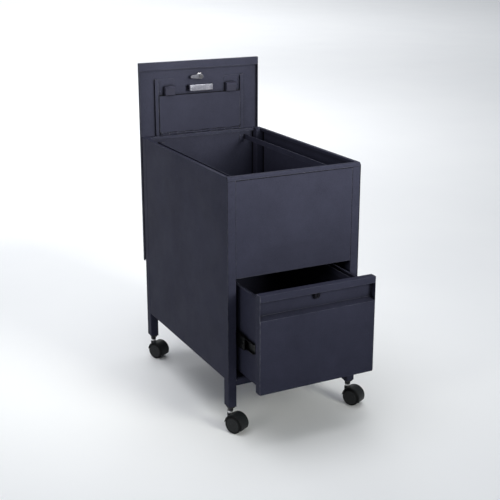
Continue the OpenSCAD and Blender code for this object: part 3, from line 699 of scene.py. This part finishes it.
# spot-weld dimples on the head's ends
bm = bmesh.new()
for z in (205, 260, 315, 370, 425):
    for y in (-127.0,):
        for s in (-1, 1):
            dome_bm(bm, P(s * HX, y, z), (s, 0, 0), 2.0, 0.18, 0.05, 20)
piece("drawer_head_welds", bm, "drawer", SLOT["drawer_face"])

# ------------------------------------------------------------------ lid carrier
CX, CY = 146.9, 651.0
bm = bmesh.new()
out = rounded([(-CX, 830), (-CX, 771.2), (CX, 771.2), (CX, 895.0), (-CX, 895.0), (-CX, 830)], [0, 9, 9, 2, 2, 0], 8)[:-1]
extrude_bm(bm, out, lambda u, v: P(u, CY, v), (0, 1.2 * MM, 0))
piece("carrier_plate_form", bm, "carrier", SLOT["lid_carrier"], ["lid_carrier"], 0.5, 3, 30)
bm = bmesh.new()
box_bm(bm, P(-CX + 0.6, CY + 1.1, 893.8), P(CX - 0.6, CY + 6.4, 895.0), 0.0003, 2)
for s in (-1, 1):
    box_bm(bm, P(min(s * CX, s * (CX - 1.2)), CY + 1.1, 780), P(max(s * CX, s * (CX - 1.2)), CY + 6.4, 893.7), 0.0003, 2)
    box_bm(bm, P(min(s * CX, s * 156), CY + 5.2, 771), P(max(s * CX, s * 156), CY + 6.4, 895.0), 0.0003, 2)
for i in (1, 3, 5, 7, 9):
    x = (i - 4.5) * 28.8
    box_bm(bm, P(x - 14, CY, 766.5), P(x + 14, CY + 1.2, 773.0), 0.0003, 2)
    lathe_bm(bm, [(1.6 * MM, 0.0), (2.7 * MM, 0.0), (3.1 * MM, 0.4 * MM), (3.1 * MM, 27.6 * MM), (2.7 * MM, 28 * MM), (1.6 * MM, 28 * MM), (1.6 * MM, 0.0)], P(x - 14, 649.0, 766.5), (1, 0, 0), 32)
bmesh.ops.remove_doubles(bm, verts=bm.verts, dist=1e-6)
piece("carrier_edges_form", bm, "carrier", SLOT["lid_carrier"])

# dark strips between the carrier and the guides and along its top edge: painted shadow standing in for the shadow
# lines of those gaps
bm = bmesh.new()
for s in (-1, 1):
    box_bm(bm, P(min(s * 147.0, s * 148.8), 651.9, 772), P(max(s * 147.0, s * 148.8), 653.6, 894.6), 0.0002, 1)
box_bm(bm, P(-146.5, 650.65, 893.7), P(146.5, 657.4, 895.35), 0.0001, 1)
me = finish_mesh("carrier_shadow_strips", bm, "stop_rubber", mat=SHADOW_STRIP_MAT)
place(weighted(add_object("carrier_shadow_strips", me)), "carrier")
# dark strips under the front lip and behind the seams at the rear posts: painted shadow standing in for the shade in
# those gaps
bm = bmesh.new()
for s in (-1, 1):
    box_bm(bm, P(min(s * 214.7, s * 213.9), 603.5, 164), P(max(s * 214.7, s * 213.9), 609.0, 763), 0.0002, 1)
    box_bm(bm, P(min(s * 187.2, s * 188.95), 637.4, 164), P(max(s * 187.2, s * 188.95), 638.78, 756), 0.0002, 1)
box_bm(bm, P(-188.4, 0.25, 752.9), P(188.4, 1.5, 754.8), 0.0003, 2)
me = finish_mesh("lip_shadow_strip", bm, "stop_rubber", mat=SHADOW_STRIP_MAT)
place(weighted(add_object("lip_shadow_strip", me)), "cabinet")

# ------------------------------------------------------------------ lid details
for s, side in ((-1, "left"), (1, "right")):
    bm = bmesh.new()
    prof = rounded([(659.8, 895.4), (642.8, 895.4), (642.8, 918.6), (648.4, 924.4), (659.8, 924.4), (659.8, 895.4)], [0, 2.0, 2.4, 2.0, 0, 0], 4)[:-1]
    x0 = 94 if s > 0 else -128
    extrude_bm(bm, prof, lambda u, v: P(x0, u, v), (34 * MM, 0, 0))
    piece(f"stop_block_{side}", bm, "lid", "stop_rubber", ["lid_stop_blocks"], 0.7, 3, 40)

bm = bmesh.new()
fold_bm(bm, [(-40.5, 661.0), (-42.0, 661.0), (-42.0, 642.0), (42.0, 642.0), (42.0, 661.0), (40.5, 661.0)][1:-1], [0, 2.6, 2.6, 0], 1.5,
        lambda x, y, s: P(x, y, s), (925.0, 905.0), 6)
piece("catch_bracket_form", bm, "lid", "bright_plate", ["lid_catch_bracket"], 0.35, 3, 45)

bm = bmesh.new()
dome_bm(bm, P(35.0, 642.0, 915.0), (0, -1, 0), 3.4, 1.5)
piece("bracket_rivet_form", bm, "lid", "bright_plate")
bm = bmesh.new()
for x in (-142, 142):
    for z in (937, 907):
        dome_bm(bm, P(x, 659.8, z), (0, -1, 0), 3.0, 1.3)
piece("guide_rivets_form", bm, "lid", SLOT["lid_guides"], ["lid_rivets"])

# latch cam: a stamped, tapered finger under a nut on the threaded end of the lock
def cam_form(name, body, slot, node, cx, cz, y_back, y_front, arm, turn, nut_y, nut_h):
    bm = bmesh.new()
    R0, R1 = 8.6, 4.4
    d = arm - R1
    ang = math.acos((R0 - R1) / d)
    pts = []
    for i in range(25):
        t = ang + (2 * math.pi - 2 * ang) * i / 24
        pts.append((R0 * math.cos(t), R0 * math.sin(t)))
    for i in range(13):
        t = -ang + 2 * ang * i / 12
        pts.append((d + R1 * math.cos(t), R1 * math.sin(t)))
    c, s = math.cos(turn), math.sin(turn)
    pts = [(cx + x * c - z * s, cz + x * s + z * c) for x, z in pts]
    extrude_bm(bm, pts, lambda u, v: P(u, y_back, v), (0, (y_front - y_back) * MM, 0))
    piece(name, bm, body, slot, [node], 0.45, 3, 40)


zc = 951.0
cam_form("lid_cam_form", "lid_lock", SLOT["lid_lock_cam"], "lid_lock_cam", 0.0, zc, 646.0, 644.0, 38.0, math.pi, 643.8, 3.0)
bm = bmesh.new()
hexnut_bm(bm, P(0, 643.9, zc), (0, -1, 0), 12.4, 3.0, 3.0)
lathe_bm(bm, [(r * MM, h * MM) for r, h in [(0.0, -2.0), (3.0, -2.0), (3.0, 3.2), (2.5, 3.7), (0.0, 3.7)]], P(0, 643.9, zc), (0, -1, 0), 32)
bmesh.ops.remove_doubles(bm, verts=bm.verts, dist=1e-6)
piece("lid_cam_nut_form", bm, "lid_lock", SLOT["lid_lock_cam"], (), 0.2, 2, 40, mat=NUT_MAT)

# ------------------------------------------------------------------ ball cages on the slides
for side, s in (("left", -1), ("right", 1)):
    body = f"{side}_slide"
    bm = bmesh.new()
    for up in (-1, 1):
        z = 290 + up * 19.9
        for i in range(14):
            y = -36 + i * 6.4
            c = P(s * 183.2, y, z)
            bmesh.ops.create_icosphere(bm, subdivisions=2, radius=1.3 * MM, matrix=Matrix.Translation(c))
        lo = P(min(s * 180.4, s * 186.0), -40.5, z - 0.35 if up > 0 else z - 0.35)
        hi = P(max(s * 180.4, s * 186.0), 54.0, z + 0.35)
        box_bm(bm, lo, hi, 0.00012, 1)
    piece(f"{side}_ball_cage", bm, body, "slide_steel")
    # pressed bosses at the front end
    bm = bmesh.new()
    for y, z, rr in ((-35.0, 297.0, 6.0), (-33.0, 282.5, 6.6), (-19.0, 303.5, 3.4), (-19.0, 276.5, 3.4)):
        dome_bm(bm, P(s * 185.9, y, z), (s, 0, 0), rr, 1.5, 0.3, 28)
    piece(f"{side}_slide_bosses", bm, body, "slide_steel")

# ------------------------------------------------------------------ CAD nodes that stay
for name, o in NODES.items():
    slot = SLOT[name]
    o.data.materials.clear()
    o.data.materials.append(MATS[slot])
    w = o.modifiers.new("weld", "WELD")
    w.merge_threshold = 0.00001
    b = o.modifiers.new("bevel", "BEVEL")
    b.width = 0.0005
    b.segments = 2
    b.limit_method = "ANGLE"
    b.angle_limit = math.radians(35)
    b.use_clamp_overlap = True
    n = o.modifiers.new("normals", "WEIGHTED_NORMAL")
    n.keep_sharp = False

# ------------------------------------------------------------------ stage, camera, light
def floor_piece():
    me = bpy.data.meshes.new("floor")
    s = 30.0
    me.from_pydata([(-s, -s, 0), (s, -s, 0), (s, s, 0), (-s, s, 0)], [], [(0, 1, 2, 3)])
    o = bpy.data.objects.new("floor", me)
    scene.collection.objects.link(o)
    m = Mat("pale_floor")
    c = m.mix(m.span(m.noise(1.3, 3.0), 0.3, 0.7, 0.0, 1.0), (0.90, 0.91, 0.93), (0.92, 0.93, 0.945))
    me.materials.append(m.done(c, m.span(m.noise(3.0), 0.3, 0.7, 0.75, 0.85), 0.0, Specular_IOR_Level=0.1))
    o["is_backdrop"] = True


floor_piece()

cam_data = bpy.data.cameras.new("camera")
cam = bpy.data.objects.new("camera", cam_data)
scene.collection.objects.link(cam)
scene.camera = cam
cam_data.sensor_width = 36.0
cam_data.lens = 71.644
cam_data.shift_y = -0.05
cam.location = P(-1352.0, -2372.4, 1395.2)
cam.rotation_euler = (math.radians(73.838), 0.0, math.radians(-26.951))


def area(name, loc, target, size, power, color=(1, 1, 1), size_y=None, spread=180.0):
    d = bpy.data.lights.new(name, "AREA")
    d.energy = power
    d.color = color
    d.size = size
    d.spread = math.radians(spread)
    if size_y:
        d.shape = "RECTANGLE"
        d.size_y = size_y
    o = bpy.data.objects.new(name, d)
    scene.collection.objects.link(o)
    o.location = loc
    o.rotation_euler = (Vector(target) - Vector(loc)).to_track_quat("-Z", "Y").to_euler()
    return o


area("key", (0.65, -2.1, 1.35), (0.0, -0.1, 1.05), 0.8, 12.6, (0.98, 0.98, 0.88), spread=60)
area("fill", (-2.6, -0.8, 1.5), (-0.2, 0.1, 0.88), 1.0, 2.0, (1.0, 0.96, 0.90), spread=42)
area("lid_light", (0.5, -0.9, 1.9), (0.0, 0.38, 1.38), 0.3, 2.0, (0.97, 0.98, 0.87), spread=32)
area("top", (-0.25, 0.2, 3.2), (0.0, 0.0, 0.5), 2.6, 66)
area("back_wash", (0.5, 4.5, 3.4), (0.8, 6.5, 0.0), 4.0, 150)
area("far_wash", (3.0, 13.0, 7.0), (3.5, 14.0, 0.0), 8.0, 560)
area("farther_wash", (7.0, 27.0, 10.0), (8.0, 29.0, 0.0), 12.0, 1300)

world = bpy.data.worlds.new("studio")
scene.world = world
world.use_nodes = True
bg = world.node_tree.nodes["Background"]
bg.inputs[0].default_value = (0.90, 0.95, 1.0, 1)
bg.inputs[1].default_value = 0.35

scene.view_settings.view_transform = "Standard"
scene.view_settings.look = "None"
scene.view_settings.exposure = 0.0
scene.view_settings.gamma = 1.0

lo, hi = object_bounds()
